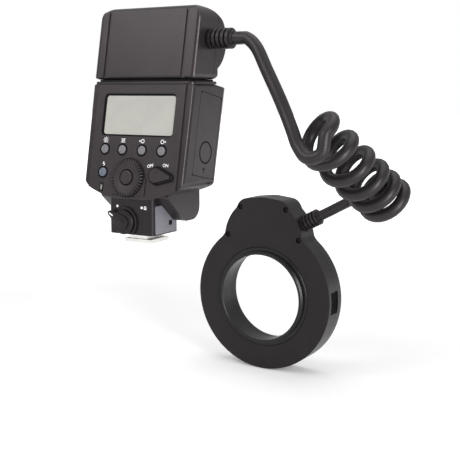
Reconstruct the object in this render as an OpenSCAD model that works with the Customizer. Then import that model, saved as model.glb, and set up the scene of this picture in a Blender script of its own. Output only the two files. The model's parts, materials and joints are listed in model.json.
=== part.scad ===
// Macro ring flash: a shoe-mounted control unit with a swivel head, a curly cord and a ring head.
// Frame: +Z up, +Y toward the ring head, origin at the bottom centre of the shoe plate, millimetres.

/* [Control unit body] */
// Width of the body at its top
body_w = 71; // [69:0.5:74]
// Depth of the body, square to the control panel
body_depth = 36; // [35.5:0.5:39]
// Height of the body's flat top above the shoe
body_top = 91; // [90.5:0.5:94]
// Lowest height of the body's bowed underside
body_bottom = 25; // [24:0.5:26]
// Forward lean of the control panel, degrees
lean = 11.5; // [10:0.5:12.5]
// Draft of each side, degrees
draft = 0.6; // [0.4:0.1:1]
// Wall of every plastic shell
wall = 2; // [1.8:0.1:2.4]
// Depth of the seam between the rear and the front shell
seam_depth = 20; // [19:0.5:21]
// Drop of the roof from the seam to the front
roof_drop = 2.8; // [2:0.2:4]
// Radius of the bowed underside
chin_r = 73; // [60:1:90]
// Radius of the upright corners at the rear
ridge_r = 3; // [2.5:0.25:4]
// Step from the control panel down to the body's rear edges
panel_step = 0.9; // [0.6:0.1:1.2]
// Width of the control panel
panel_w = 61.5; // [60:0.5:63]

/* [Controls] */
// Width of the panel at each side of the display's glass
lcd_side = 6.15; // [5.5:0.05:7.5]
// Height of the display's glass
lcd_h = 23.2; // [20:0.2:24]
// Radius of a button's cap
button_r = 2.5; // [2.2:0.1:2.8]
// Travel of a button
button_travel = 0.5; // [0.3:0.1:0.6]
// Radius of the dial
dial_r = 11; // [9.5:0.25:11.5]
// Radius of the button in the dial
set_r = 4.1; // [3.5:0.1:4.5]
// Radius of the power switch's round end
switch_r = 4.8; // [4:0.1:5]
// Length of the power switch from its pivot to its tip
switch_len = 10.8; // [9:0.2:11]

/* [Battery bay] */
// Radius of a cell
cell_r = 7.1; // [6.9:0.1:7.2]
// Length of a cell
cell_len = 50.5; // [49:0.5:51]
// Height of the battery door
door_h = 47; // [44:1:48]
// Width of the battery door
door_w = 21.5; // [20:0.5:22]
// Radius of the door's hinge pins
hinge_r = 0.8; // [0.6:0.1:0.9]

/* [Shoe foot] */
// Width of the shoe plate
shoe_w = 18.6; // [18.4:0.1:18.8]
// Length of the shoe plate
shoe_len = 18; // [17:0.5:19]
// Thickness of the shoe plate
shoe_t = 2; // [1.8:0.1:2.1]
// Width of the foot block
foot_w = 31; // [28:0.5:34]
// Depth of the foot block
foot_depth = 25.5; // [24:0.5:27]
// Height of the foot block's underside
foot_z = 5.5; // [5:0.25:6]
// Width of the base under the body
base_w = 48; // [44:1:52]
// Radius of the lock lever's disc
lever_r = 7; // [6:0.25:7.2]
// Radius of the lock pin
lock_pin_r = 1; // [0.8:0.1:1.2]

/* [Swivel head] */
// Width of the head
head_w = 70; // [68:0.5:72]
// Height of the head
head_h = 41.2; // [40:0.2:44]
// Gap under the head
head_gap = 2.2; // [1.8:0.1:3]
// Depth of the head's seam
head_seam = 19.5; // [19:0.25:21]
// Radius of the head's round nose
nose_r = 18.5; // [17.5:0.25:19]
// Radius of the swivel shaft
shaft_r = 8; // [7:0.25:8.25]
// Radius of the collar around the swivel shaft
collar_r = 11.5; // [11:0.25:11.75]
// Radius of the storage capacitor
capacitor_r = 10; // [9:0.5:10.5]

/* [Ring head] */
// Radius of the ring
ring_r = 54; // [53.5:0.25:56]
// Width of the ring from the adapter's bore to its outside
ring_width = 17.2; // [17:0.1:17.4]
// Depth of the ring
ring_depth = 20; // [20:0.5:23]
// Distance of the ring's rear face in front of the shoe
ring_y = 140; // [135:1:150]
// Height of the ring's axis below the shoe
ring_drop = 62; // [56:1:68]
// Depth of the seam between the ring's two shells
ring_seam = 11; // [10.5:0.25:11.5]
// Step from the adapter's bore in to its lens thread
thread_step = 3.3; // [2.8:0.1:4.8]
// Thickness of the adapter inside its thread
thread_wall = 2; // [2:0.25:3]
// Height of the bell above the ring
bell_rise = 19; // [17:0.5:22]
// Travel of a release latch
latch_travel = 2.5; // [2.2:0.1:2.6]
// Angle that each flash window covers, degrees
window_angle = 148; // [130:2:152]

/* [Curly cord] */
// Diameter of the cord
cord_d = 7.2; // [6.4:0.1:7.4]
// Mean radius of the curls
curl_r = 12; // [11:0.25:13]
// Number of curls
curl_turns = 5.6; // [5:0.1:5.6]
// Rings to each curl
curl_rings = 12; // [8:1:16]
// Length of a cord gland outside its wall
gland_len = 16; // [14:0.5:18]
// Radius of a gland's ribs
gland_r = 5.8; // [5.2:0.1:6]

/* [Clearances] */
// Gap beside a part that slides or swings
slide_gap = 0.3; // [0.25:0.05:0.4]
// Radial gap of a shaft in its bore
shaft_gap = 0.05; // [0.02:0.01:0.1]

/* [Hidden] */
$fn = 64;
far = 200;
// Place where the control panel's frame starts: behind the shoe's centre and above the shoe
panel_back = 15.6;
panel_base = 30;
// Corner radii of the body
edge_r = 3;
base_corner_r = 14;
lower_corner_r = 8;
upper_corner_r = 4;
front_corner_r = 5;
roof_break_y = 17.5;
overcut = 0.4;
panel_clear = 0.05;
half_w0 = body_w / 2 - (body_top - panel_base) / cos(lean) * tan(draft);
panel_t = wall;
// Panel features, in the panel's own frame: across, up
lcd_mid = [0, 44.1];
lcd_frame = 0.7;
lcd_corner = 2;
lcd_glass_t = 1.2;
lcd_sink = 0.5;
row_up = 24;
row_left = [9.55, 22.15];
row_right = [25.55, 11.95];
row_across = concat([for (d = row_left) d - panel_w / 2], [for (d = row_right) panel_w / 2 - d]);
pilot_left = 9.75;
pilot_at = [pilot_left - panel_w / 2, 10.5];
sensor_at = [pilot_at[0], 1.8];
sensor_size = [2.7, 5];
dial_at = [-2.2, 8];
switch_at = [17.6, 10];
switch_tip_r = 1.8;
switch_tip_fall = 0.6;
button_rim = 0.6;
cap_proud = 0.7;
flange_step = 1.1;
flange_t = 1;
flange_gap = 0.3;
stem_end = panel_t + flange_gap + flange_t;
lcd_w = panel_w - 2 * lcd_side;
board_w = 6.5;
board_t = 1.6;
board_inset = 3.75;
module_rim = [2, 1.5];
board_size = [panel_w - 2 * board_inset, 52];
board_low = 5;
tact_w = stem_end + button_travel + 0.1;
tact_size = 4.4;
dial_proud = 2.4;
dial_sink = 0.8;
dial_hub_r = set_r + 1.9;
dial_clip_r = dial_hub_r + 1;
tongue_t = 0.6;
tongue_low = -2;
tongue_rim = 1.4;
switch_shaft_r = 2.4;
switch_t = 2.2;
post_r = 2.2;
post_inset = 5.75;
post_up = [28.4, 17.2];
post_at = [for (s = [-1, 1]) for (v = post_up) [s * (panel_w / 2 - post_inset), v]];
// Battery bay, in the panel's frame
cell_depth = [17.2, 24.6];
cell_gap = 0.33;
cell_pitch = sqrt(pow(2 * cell_r + cell_gap, 2) - pow(cell_depth[1] - cell_depth[0], 2));
cell_top = 53.5;
cell_low = cell_top - 3 * cell_pitch;
cell_right = 28;
nub_r = 2.6;
nub_len = 1;
tray_face = -26.6;
tray_low = 4;
tray_size = [22, 56];
contact_t = 0.5;
contact_rim = 1.8;
door_rear = 9;
door_low = 13;
door_t = wall;
door_corner = 1.5;
hinge_set = 1.5;
lug = 5;
pin_reach = 3;
thumb_r = 6.3;
thumb_at = [20, 27];
groove_line = 0.45;
door_front = door_rear + door_w;
hinge_x = half_w0 - hinge_set;
hinge_w = door_front - hinge_set;
// Foot, in the shoe's frame
foot_rear = -15.5;
foot_corner = 2.5;
neck_size = [12.4, 16];
contact_r = 1;
contact_at = [[0, 0], [-3.6, -4], [3.6, -4], [-3.6, 3.4], [3.6, 3.4]];
contact_h = 3;
lock_at = [0, 7];
lock_travel = 1.2;
lock_len = 9;
lock_head_r = 2.2;
lever_at = [-4, 12.5];
lever_t = 3.4;
pointer_t = 1.6;
pointer_base_r = 4;
pointer_tip_r = 1.4;
lever_shaft_r = 2.2;
lever_shaft_len = 12;
pointer_reach = 11.3;
pointer_angle = 150;
guard_r = 9;
guard_t = 1.2;
guard_turn = 150;
guard_mid = 25;
base_floor = 12.5;
base_front = 20;
base_corner = 8;
assist_size = [26, 8];
assist_z = 18;
// Head
head_z = body_top + head_gap;
head_top = head_z + head_h;
head_strip_y = 22.9;
head_edge_r = 3;
head_rear_r = 8;
head_top_corner = 10;
nose_at = [13.9, head_z + head_h * 0.541];
head_panel_w = 52;
groove_w = 2.4;
groove_depth = 0.8;
swivel_y = 10.7;
collar_lip = 1.5;
collar_plate = [48, 18.6];
collar_plate_y = 8;
collar_plate_corner = 4;
collar_h = 5;
shaft_bore = 5.5;
flange_h = 2;
clip_h = 1.4;
clip_step = 1;
head_gland_up = 22.4;
head_gland_at = [15, head_z + head_gland_up];
capacitor_up = 24;
capacitor_at = [16, head_z + capacitor_up];
capacitor_x = [-29, 9];
rib_x = [-27, -17];
rib_t = 2;
// Ring head, about the ring's axis: across, up
flank_angle = 27.2;
flank_drop = 5.05;
adapter_bore_r = ring_r - ring_width;
thread_r = adapter_bore_r - thread_step;
aperture_r = thread_r - thread_wall;
bell_top = ring_r + bell_rise;
flank_reach = ring_r - flank_drop;
bell_corner_r = 9;
bell_low_in = [24.5, 24];
bell_low = [ring_r, ring_r] - bell_low_in;
bell_shoulder = 10.3;
bell_arch = 32;
fillet_r = 20;
fillet_under = 0.6;
fillet_past = 3;
fillet_cut = 0.15;
fillet_sunk = 0.003;
bore_wall = 2;
inner_step = 2.8;
reflector_rim = 6.5;
reflector_gap = 3;
inner_r = adapter_bore_r - inner_step;
reflector_in = inner_r + wall + reflector_gap;
reflector_out = ring_r - reflector_rim;
reflector_t = 1;
tube_r = 1.9;
tube_mid_r = (reflector_in + reflector_out) / 2;
window_inset = 0.8;
lamp_r = 2.4;
lamp_angles = [82, 98, 262, 278];
adapter_lip = 0.5;
thread_len = 3.5;
adapter_len = 8;
bore_gap = 0.3;
catch_y = [4, 7];
groove_step = 2.2;
catch_groove = adapter_bore_r - groove_step;
catch_gap = 0.4;
catch_tip = catch_groove + catch_gap;
frame_rim = 7;
frame_width = 4.5;
frame_out = ring_r - frame_rim;
frame_in = frame_out - frame_width;
cap_y = [3, 14];
cap_half = 8;
cap_sink = 0.4;
cap_skin = 1.6;
cap_block = 3.4;
hook_up = [9, 15];
stem_half = 5.5;
spring_r = 1.5;
spring_wire = 0.5;
screw_in = [2.6, 3.05];
screw_below = [7.8, 29];
screw_up = [for (d = screw_below) bell_top - d];
screw_across = [for (i = [0, 1])
    (flank_reach - screw_in[i] - screw_up[i] * sin(flank_angle)) / cos(flank_angle)];
screw_at = [for (s = [1, -1]) for (i = [0, 1]) [s * screw_across[i], screw_up[i]]];
screw_r = 1.2;
screw_head_r = 2.1;
boss_r = 2.7;
head_sink = 0.8;
screw_head_t = 1.4;
ring_gland_below = 18.8;
ring_gland_slide = bell_top - ring_gland_below;
ring_board_size = [28, 13];
ring_board_below = 21;
ring_board_low = bell_top - ring_board_below;
ring_post_r = 2;
// Glands
gland_neck_r = 6;
gland_flange_r = 6.8;
gland_flange_t = 2.5;
gland_core_r = 4.2;
gland_ribs = 5;
// Cord: points by hand, from the head's gland to the curls and from the curls to the ring's gland
curl_start = [102, 4, 68];
curl_end = [127, 58, 24];
curl_first = 0.2;
curl_phase = 11;
curl_spread = 0.4;
cord_sides = 8;
lead_points = [[66, 13, 110], [74, 10, 98], [82, 7, 86], [88, 5, 76], [94, 2, 66], [98.5, 0, 58], [105, -2, 52.5],
    [112.5, -1, 55]];
tail_points = [[115, 68, 24], [106, 74, 19], [97, 91, 16], [88, 112, 15], [77, 133, 14], [66, 146, 12]];
spline_steps = 3;
plastic = "#2e2d2f";
soft_black = "#1d1c1e";
metal = "#b9bbbe";

// Frames and helpers

// Frame of the control panel: X across, Y into the unit, Z up the panel
module lean_frame() {
    translate([0, -panel_back, panel_base]) rotate([-lean, 0, 0]) children();
}

// Frame of the drafted right side, where the side's face is at half_w0
module side_frame() {
    lean_frame() rotate([0, draft, 0]) children();
}

// Frame of the ring: X across, Y forward from its rear face, Z up from its axis
module ring_frame() {
    translate([0, ring_y, -ring_drop]) children();
}

// Outline of (y, z) points drawn out along X
module slab_x(x0, x1) {
    translate([x0, 0, 0]) rotate([90, 0, 90]) linear_extrude(x1 - x0) children();
}

// Outline of (x, z) points drawn out along Y
module slab_y(y0, y1) {
    translate([0, y1, 0]) rotate([90, 0, 0]) linear_extrude(y1 - y0) children();
}

// Round bar along Y at across, up
module peg(at, y0, y1, r) {
    translate([at[0], y0, at[1]]) rotate([-90, 0, 0]) cylinder(h = y1 - y0, r = r);
}

// Round bar along X at (y, z)
module bar(at, x0, x1, r) {
    translate([x0, at[0], at[1]]) rotate([0, 90, 0]) cylinder(h = x1 - x0, r = r);
}

// Solid of revolution about the ring's axis from a (radius, depth) profile
module spin(angle = 360) {
    rotate([-90, 0, 0]) rotate([0, 0, -angle / 2]) rotate_extrude(angle = angle) children();
}

// Box from depth y0 to y1 around a point across, up
module block(mid, size, y0, y1) {
    translate([mid[0] - size[0] / 2, y0, mid[1] - size[1] / 2]) cube([size[0], y1 - y0, size[1]]);
}

// Normal of the line that touches two circles, on the right of the way from a to b
function touch_normal(a, b) =
    let (d = [b[0] - a[0], b[1] - a[1]], l = norm(d), c = (a[2] - b[2]) / l, s = sqrt(1 - c * c))
    [(d[0] * c + d[1] * s) / l, (d[1] * c - d[0] * s) / l];

// Outline around circles [x, y, r] given counterclockwise, with true arcs, its straight edges sunk a little
module around(circles, sunk = 0) {
    n = len(circles);
    polygon([for (i = [0:n - 1])
        let (a = circles[i], b = circles[(i + 1) % n], t = touch_normal(a, b))
        each [[a[0], a[1]] + (a[2] - sunk) * t, [b[0], b[1]] + (b[2] - sunk) * t]]);
    for (c = circles) translate([c[0], c[1]]) circle(c[2]);
}

// Rectangle with round corners around a middle point
module round_rect(mid, size, r) {
    x = size[0] / 2 - r;
    y = size[1] / 2 - r;
    translate(mid) around([[-x, -y, r], [x, -y, r], [x, y, r], [-x, y, r]]);
}

function unit(v) = v / norm(v);

// Depth in Y of a plane parallel to the panel, w behind its face, at height z
function depth_at(w, z) = -panel_back + (z - panel_base) * tan(lean) + w / cos(lean);

// Control unit body

// Side of the body, drawn in by inset
module body_side(inset) {
    w0 = edge_r - overcut;
    w1 = body_depth + overcut;
    low = body_bottom - overcut;
    around([
        [depth_at(w0, low + edge_r), low + edge_r, edge_r - inset],
        [depth_at(w1 - base_corner_r, low + base_corner_r), low + base_corner_r, base_corner_r - inset],
        [depth_at(w1 - edge_r, body_top - roof_drop - edge_r), body_top - roof_drop - edge_r, edge_r - inset],
        [roof_break_y, body_top - edge_r, edge_r - inset],
        [depth_at(w0, body_top - edge_r), body_top - edge_r, edge_r - inset]]);
}

// Back of the body with its bowed underside, drawn in by inset
module body_back(inset) {
    bow = [0, body_bottom + chin_r];
    low_x = half_w0 + overcut - lower_corner_r;
    low_z = bow[1] - sqrt(pow(chin_r - lower_corner_r, 2) - low_x * low_x);
    top_x = body_w / 2 + overcut - upper_corner_r;
    top_z = body_top - upper_corner_r;
    touch = bow + (chin_r - inset) * unit([low_x, low_z] - bow);
    around([[-low_x, low_z, lower_corner_r - inset], [low_x, low_z, lower_corner_r - inset],
        [top_x, top_z, upper_corner_r - inset], [-top_x, top_z, upper_corner_r - inset]]);
    polygon([[-low_x, low_z], [-touch[0], touch[1]], touch, [low_x, low_z]]);
    intersection() {
        translate(bow) circle(chin_r - inset, $fn = 180);
        translate([-touch[0], 0]) square([2 * touch[0], touch[1]]);
    }
}

// Plan of the body's right side, drawn in by inset
module body_plan(inset) {
    around([[-body_w, ridge_r, ridge_r - inset], [half_w0 - ridge_r, ridge_r, ridge_r - inset],
        [half_w0 - front_corner_r, body_depth - front_corner_r, front_corner_r - inset],
        [-body_w, body_depth - front_corner_r, front_corner_r - inset]]);
}

// Solid of the whole body, drawn in by inset
module body_form(inset) {
    intersection() {
        slab_x(-body_w, body_w) body_side(inset);
        slab_y(-body_depth * 2, body_depth * 2) body_back(inset);
        side_frame() translate([0, 0, -body_top]) linear_extrude(body_top * 2) body_plan(inset);
        mirror([1, 0, 0]) side_frame() translate([0, 0, -body_top]) linear_extrude(body_top * 2) body_plan(inset);
    }
}

// Everything between two depths behind the panel's face
module between(w0, w1) {
    lean_frame() translate([-far, w0, -far]) cube([2 * far, w1 - w0, 2 * far]);
}

// Room for the battery door in the right side
module door_room(gap) {
    side_frame() {
        translate([half_w0 - door_t - gap, door_rear - gap, door_low - gap])
            cube([door_t + edge_r, door_w + 2 * gap, door_h + 2 * gap]);
        translate([hinge_x, hinge_w, door_low - gap])
            cylinder(h = door_h + 2 * gap, r = norm([hinge_set, hinge_set]) + gap);
    }
}

module shell_of_body() {
    difference() {
        body_form(0);
        body_form(wall);
    }
}

module collar_room() {
    translate([0, swivel_y, 0]) cylinder(h = far, r = collar_r);
}

module rear_housing() {
    color(plastic) difference() {
        intersection() {
            shell_of_body();
            between(-far, seam_depth);
        }
        lean_frame() {
            translate([-panel_w / 2, -far, -far]) cube([panel_w, far + panel_t + panel_clear, 2 * far]);
            for (s = [0, 1]) mirror([s, 0, 0]) translate([panel_w / 2 - overcut, -far, -far])
                cube([far, far + panel_step, 2 * far]);
        }
        door_room(slide_gap);
        collar_room();
    }
}

// Lugs that hold the hinge pins above and below the door
module door_lugs() {
    side_frame() for (v = [door_low - slide_gap - lug, door_low + door_h + slide_gap])
        translate([half_w0 - lug - edge_r / 2, hinge_w - lug / 2, v]) cube([lug, lug, lug]);
}

module front_housing() {
    color(plastic) difference() {
        union() {
            intersection() {
                shell_of_body();
                between(seam_depth, far);
            }
            intersection() {
                door_lugs();
                body_form(wall / 2);
                between(seam_depth, far);
            }
        }
        door_room(slide_gap);
        collar_room();
        hinge_line(door_low - slide_gap - pin_reach, door_low + door_h + slide_gap + pin_reach, hinge_r);
    }
}

// Round bar on the hinge line of the door
module hinge_line(v0, v1, r) {
    side_frame() translate([hinge_x, hinge_w, v0]) cylinder(h = v1 - v0, r = r);
}

module door_pins() {
    color(metal) {
        hinge_line(door_low - slide_gap - pin_reach, door_low + pin_reach, hinge_r);
        hinge_line(door_low + door_h - pin_reach, door_low + door_h + slide_gap + pin_reach, hinge_r);
    }
}

module battery_door() {
    color(plastic) difference() {
        side_frame() translate([half_w0 - door_t, 0, 0]) slab_x(0, door_t)
            round_rect([door_rear + door_w / 2, door_low + door_h / 2], [door_w, door_h], door_corner);
        for (v = [door_low - 1, door_low + door_h - pin_reach])
            hinge_line(v, v + pin_reach + 1, hinge_r + shaft_gap);
        side_frame() difference() {
            bar(thumb_at, half_w0 - groove_line, half_w0 + 1, thumb_r);
            bar(thumb_at, half_w0 - 1, half_w0 + 2, thumb_r - groove_line);
        }
    }
}

// Cells: middle of cell i in depth and height
function cell_at(i) = [cell_depth[i % 2], cell_low + i * cell_pitch];

module door_contacts() {
    color(metal) side_frame() for (i = [0, 2])
        translate([half_w0 - door_t - contact_t, cell_depth[0] - contact_rim, cell_low + i * cell_pitch - contact_rim])
            cube([contact_t, cell_depth[1] - cell_depth[0] + 2 * contact_rim, cell_pitch + 2 * contact_rim]);
}

module battery_cells() {
    color("#8f8a5a") lean_frame() for (i = [0:3]) {
        s = i % 2 == 0 ? 1 : 0;
        left = cell_right - cell_len;
        bar(cell_at(i), left + nub_len * (1 - s), cell_right - nub_len * s, cell_r);
        bar(cell_at(i), left, cell_right, nub_r);
    }
}

module battery_tray() {
    color(soft_black) intersection() {
        body_form(wall);
        lean_frame() translate([-far, door_rear + slide_gap, tray_low])
            cube([far + tray_face, tray_size[0], tray_size[1]]);
    }
}

// Leaf contacts between the tray and the cells' left ends
module tray_contacts() {
    left = cell_right - cell_len;
    color(metal) lean_frame() for (i = [0:3]) {
        bar(cell_at(i), tray_face, tray_face + contact_t, cell_r - 1.5);
        bar(cell_at(i), tray_face, left, nub_r);
    }
}

// Control panel and what is behind it

module round_hole(at, r) {
    peg(at, -1, panel_t + 1, r);
}

module control_panel() {
    color(plastic) difference() {
        union() {
            intersection() {
                body_form(0);
                lean_frame() translate([-panel_w / 2, -1, -far]) cube([panel_w, 1 + panel_t, 2 * far]);
            }
            lean_frame() {
                for (p = post_at) peg(p, panel_t / 2, board_w, post_r);
                translate([dial_at[0] - dial_r - tongue_rim, -tongue_t, tongue_low])
                    cube([2 * (dial_r + tongue_rim), tongue_t + panel_t / 2, dial_at[1] - tongue_low]);
            }
        }
        lean_frame() {
            slab_y(-1, panel_t + 1)
                round_rect(lcd_mid, [lcd_w + 2 * lcd_frame, lcd_h + 2 * lcd_frame], lcd_corner + lcd_frame);
            for (u = row_across) round_hole([u, row_up], button_r + button_rim);
            round_hole(pilot_at, button_r + button_rim);
            block(sensor_at, sensor_size, -1, panel_t + 1);
            round_hole(dial_at, dial_hub_r + slide_gap);
            peg(dial_at, -1, dial_sink, dial_r + slide_gap);
            round_hole(switch_at, switch_shaft_r + shaft_gap);
        }
    }
}

module lcd_window() {
    color("#c6c5be") lean_frame() slab_y(lcd_sink, lcd_sink + lcd_glass_t)
        round_rect(lcd_mid, [lcd_w + 2 * lcd_frame, lcd_h + 2 * lcd_frame], lcd_corner + lcd_frame);
}

module lcd_module() {
    color("#9aa09a") lean_frame()
        block(lcd_mid, [lcd_w, lcd_h] + 2 * module_rim, panel_t, board_w);
}

module main_board() {
    color("#2f5d3a") lean_frame()
        block([0, board_low + board_size[1] / 2], board_size, board_w, board_w + board_t);
}

module tact_switches() {
    color("#55575a") lean_frame() {
        for (p = concat([for (u = row_across) [u, row_up]], [pilot_at, dial_at]))
            block(p, [tact_size, tact_size], tact_w, board_w);
    }
}

module dial_encoder() {
    color("#55575a") lean_frame() difference() {
        peg(dial_at, stem_end + slide_gap, board_w, dial_clip_r + 0.5);
        peg(dial_at, 0, far, dial_hub_r - 0.6);
    }
}

module sensor_window() {
    color("#9d9aa6") lean_frame() block(sensor_at, sensor_size, lcd_sink, panel_t);
}

// Button: a cap through the panel with a flange behind it
module button(at, r) {
    lean_frame() {
        peg(at, -cap_proud, stem_end, r);
        peg(at, panel_t + flange_gap, stem_end, r + flange_step);
    }
}

module button_lamp() { color("#6d6b70") button([row_across[0], row_up], button_r); }
module button_mode() { color("#6d6b70") button([row_across[1], row_up], button_r); }
module button_a() { color("#6d6b70") button([row_across[2], row_up], button_r); }
module button_b() { color("#6d6b70") button([row_across[3], row_up], button_r); }
module pilot_button() { color("#a9b2c6") button(pilot_at, button_r); }

module set_button() {
    color(soft_black) lean_frame() peg(dial_at, -dial_proud - cap_proud / 2, stem_end, set_r);
}

module dial() {
    color(soft_black) lean_frame() difference() {
        union() {
            peg(dial_at, -dial_proud, dial_sink - slide_gap, dial_r);
            peg(dial_at, 0, panel_t + flange_gap, dial_hub_r);
            peg(dial_at, panel_t + flange_gap, stem_end, dial_clip_r);
        }
        peg(dial_at, -far, far, set_r + shaft_gap);
    }
}

module power_switch() {
    color(soft_black) lean_frame() {
        slab_y(-switch_t - slide_gap, -slide_gap) translate(switch_at)
            around([[0, 0, switch_r], [switch_len - switch_tip_r, -switch_tip_fall, switch_tip_r]]);
        peg(switch_at, -switch_t, stem_end, switch_shaft_r);
        peg(switch_at, panel_t + flange_gap, stem_end, switch_shaft_r + flange_step);
    }
}

// Base, foot and lock

// Side of the base under the body
module base_side() {
    top = body_bottom + edge_r;
    around([[-9, top, edge_r], [6, base_floor + edge_r, edge_r],
        [base_front - base_corner, base_floor + base_corner, base_corner], [base_front - edge_r, top, edge_r]]);
}

module foot_outline() {
    round_rect([0, foot_rear + foot_depth / 2], [foot_w, foot_depth], foot_corner);
}

module base_cover() {
    color(plastic) difference() {
        slab_x(-base_w / 2, base_w / 2) base_side();
        body_form(0);
        translate([0, 0, foot_z]) linear_extrude(far) foot_outline();
        block([0, assist_z], assist_size, base_front - wall, far);
    }
}

module assist_window() {
    color("#4a1216") intersection() {
        block([0, assist_z], assist_size, base_front - wall, far);
        slab_x(-base_w / 2, base_w / 2) base_side();
    }
}

// Raised crescent beside the lock lever
module lever_guard() {
    translate([lever_at[0], foot_rear - guard_t, lever_at[1]]) rotate([0, -guard_mid, 0])
        spin(guard_turn) translate([guard_r - guard_t, 0]) square([guard_t, guard_t + 1]);
}

module foot_block() {
    color(soft_black) difference() {
        union() {
            translate([0, 0, foot_z]) linear_extrude(body_bottom + edge_r - overcut - foot_z) foot_outline();
            lever_guard();
        }
        body_form(0);
        translate([lock_at[0], lock_at[1], 0]) {
            cylinder(h = foot_z + lock_len, r = lock_pin_r + shaft_gap);
            translate([0, 0, foot_z + lock_len - flange_t - lock_travel - slide_gap])
                cylinder(h = flange_t + lock_travel + 2 * slide_gap, r = lock_head_r + slide_gap);
        }
        lean_frame() peg(dial_at, -far, dial_sink, dial_r + slide_gap);
        peg(lever_at, -far, foot_rear + lever_shaft_len, lever_shaft_r + shaft_gap);
        for (p = contact_at) translate([p[0], p[1], 0]) cylinder(h = foot_z + contact_h - shoe_t, r = contact_r);
    }
}

module shoe_plate() {
    color(metal) difference() {
        union() {
            translate([-shoe_w / 2, -shoe_len / 2, 0]) cube([shoe_w, shoe_len, shoe_t]);
            translate([-neck_size[0] / 2, -neck_size[1] / 2, 0]) cube([neck_size[0], neck_size[1], foot_z]);
        }
        translate([lock_at[0], lock_at[1], -1]) cylinder(h = far, r = lock_pin_r + shaft_gap);
        for (p = contact_at) translate([p[0], p[1], -1]) cylinder(h = far, r = contact_r);
    }
}

module contact_pins() {
    color("#cbb26a") for (p = contact_at)
        translate([p[0], p[1], 0]) cylinder(h = foot_z + contact_h - shoe_t, r = contact_r);
}

module lock_pin() {
    color(metal) translate([lock_at[0], lock_at[1], 0]) {
        translate([0, 0, shaft_gap]) cylinder(h = foot_z + lock_len - shaft_gap, r = lock_pin_r);
        translate([0, 0, foot_z + lock_len - flange_t]) cylinder(h = flange_t, r = lock_head_r);
    }
}

module lock_lever() {
    out = foot_rear - slide_gap;
    color(soft_black) {
        peg(lever_at, out - lever_t, out, lever_r);
        peg(lever_at, out, foot_rear + lever_shaft_len - slide_gap, lever_shaft_r);
        slab_y(out - lever_t, out - lever_t + pointer_t) translate(lever_at) rotate(pointer_angle)
            around([[0, 0, pointer_base_r], [pointer_reach - pointer_tip_r, 0, pointer_tip_r]]);
    }
}

// Swivel head

module head_side(inset) {
    w0 = head_edge_r - overcut;
    around([
        [depth_at(w0, head_z + head_edge_r), head_z + head_edge_r, head_edge_r - inset],
        [head_strip_y - head_edge_r, head_z + head_edge_r, head_edge_r - inset],
        [head_strip_y - head_edge_r, nose_at[1], head_edge_r - inset],
        [nose_at[0], head_top - head_edge_r, head_edge_r - inset],
        [depth_at(head_rear_r - overcut, head_top - head_rear_r), head_top - head_rear_r, head_rear_r - inset]]);
    translate(nose_at) circle(nose_r - inset);
}

module head_form(inset) {
    x = head_w / 2;
    top_x = x - head_top_corner;
    intersection() {
        slab_x(-x, x) head_side(inset);
        slab_y(-far, far) around([[-x + head_edge_r, head_z + head_edge_r, head_edge_r - inset],
            [x - head_edge_r, head_z + head_edge_r, head_edge_r - inset],
            [top_x, head_top + overcut - head_top_corner, head_top_corner - inset],
            [-top_x, head_top + overcut - head_top_corner, head_top_corner - inset]]);
        lean_frame() linear_extrude(far) around([
            [-x + ridge_r - overcut, ridge_r, ridge_r - inset], [x - ridge_r + overcut, ridge_r, ridge_r - inset],
            [x - head_edge_r + overcut, far, head_edge_r - inset],
            [-x + head_edge_r - overcut, far, head_edge_r - inset]]);
    }
}

module shell_of_head() {
    difference() {
        head_form(0);
        head_form(wall);
    }
}

module swivel_hole(r) {
    translate([0, swivel_y, 0]) cylinder(h = head_z + 2 * wall, r = r);
}

module head_rear_shell() {
    color(plastic) difference() {
        union() {
            intersection() {
                shell_of_head();
                between(-far, head_seam);
            }
            intersection() {
                for (x = rib_x) slab_x(x, x + rib_t)
                    translate([0, head_z]) square([capacitor_at[0], capacitor_at[1] - head_z]);
                head_form(wall / 2);
                between(0, head_seam);
            }
        }
        lean_frame() for (s = [-1, 1])
            translate([s * (head_panel_w + groove_w) / 2 - groove_w / 2, -far, 0])
                cube([groove_w, far + groove_depth, far]);
        swivel_hole(shaft_r);
        bar(head_gland_at, 0, far, gland_neck_r);
        bar(capacitor_at, capacitor_x[0], capacitor_x[1], capacitor_r);
    }
}

module head_front_shell() {
    color(plastic) difference() {
        intersection() {
            shell_of_head();
            between(head_seam, far);
        }
        swivel_hole(shaft_r);
        bar(head_gland_at, 0, far, gland_neck_r);
    }
}

module capacitor() {
    color("#23262b") bar(capacitor_at, capacitor_x[0], capacitor_x[1], capacitor_r);
}

module neck_collar() {
    top = head_z - slide_gap;
    color(soft_black) translate([0, swivel_y, 0]) difference() {
        union() {
            translate([0, 0, top - collar_h]) cylinder(h = collar_h, r = collar_r);
            translate([0, 0, body_top]) linear_extrude(top - body_top) {
                circle(collar_r + collar_lip);
                round_rect([0, collar_plate_y - swivel_y], collar_plate, collar_plate_corner);
            }
        }
        cylinder(h = far, r = shaft_r + shaft_gap);
    }
}

module swivel_shaft() {
    low = head_z - 2 * slide_gap - collar_h - clip_h;
    color(metal) translate([0, swivel_y, 0]) difference() {
        union() {
            translate([0, 0, low]) cylinder(h = head_z + wall - low, r = shaft_r);
            translate([0, 0, low]) cylinder(h = clip_h, r = shaft_r + clip_step);
            translate([0, 0, head_z + wall]) cylinder(h = flange_h, r = shaft_r + clip_step);
        }
        cylinder(h = far, r = shaft_bore);
    }
}

// Ribbed strain relief along +X, from a wall's outer face at 0
module gland() {
    bar([0, 0], -wall - gland_flange_t, -wall, gland_flange_r);
    bar([0, 0], -wall, 0, gland_neck_r);
    bar([0, 0], 0, gland_len, gland_core_r);
    step = gland_len / (gland_ribs + 0.5);
    for (i = [0:gland_ribs - 1]) bar([0, 0], i * step + step * 0.3, i * step + step * 0.95, gland_r);
}

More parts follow.
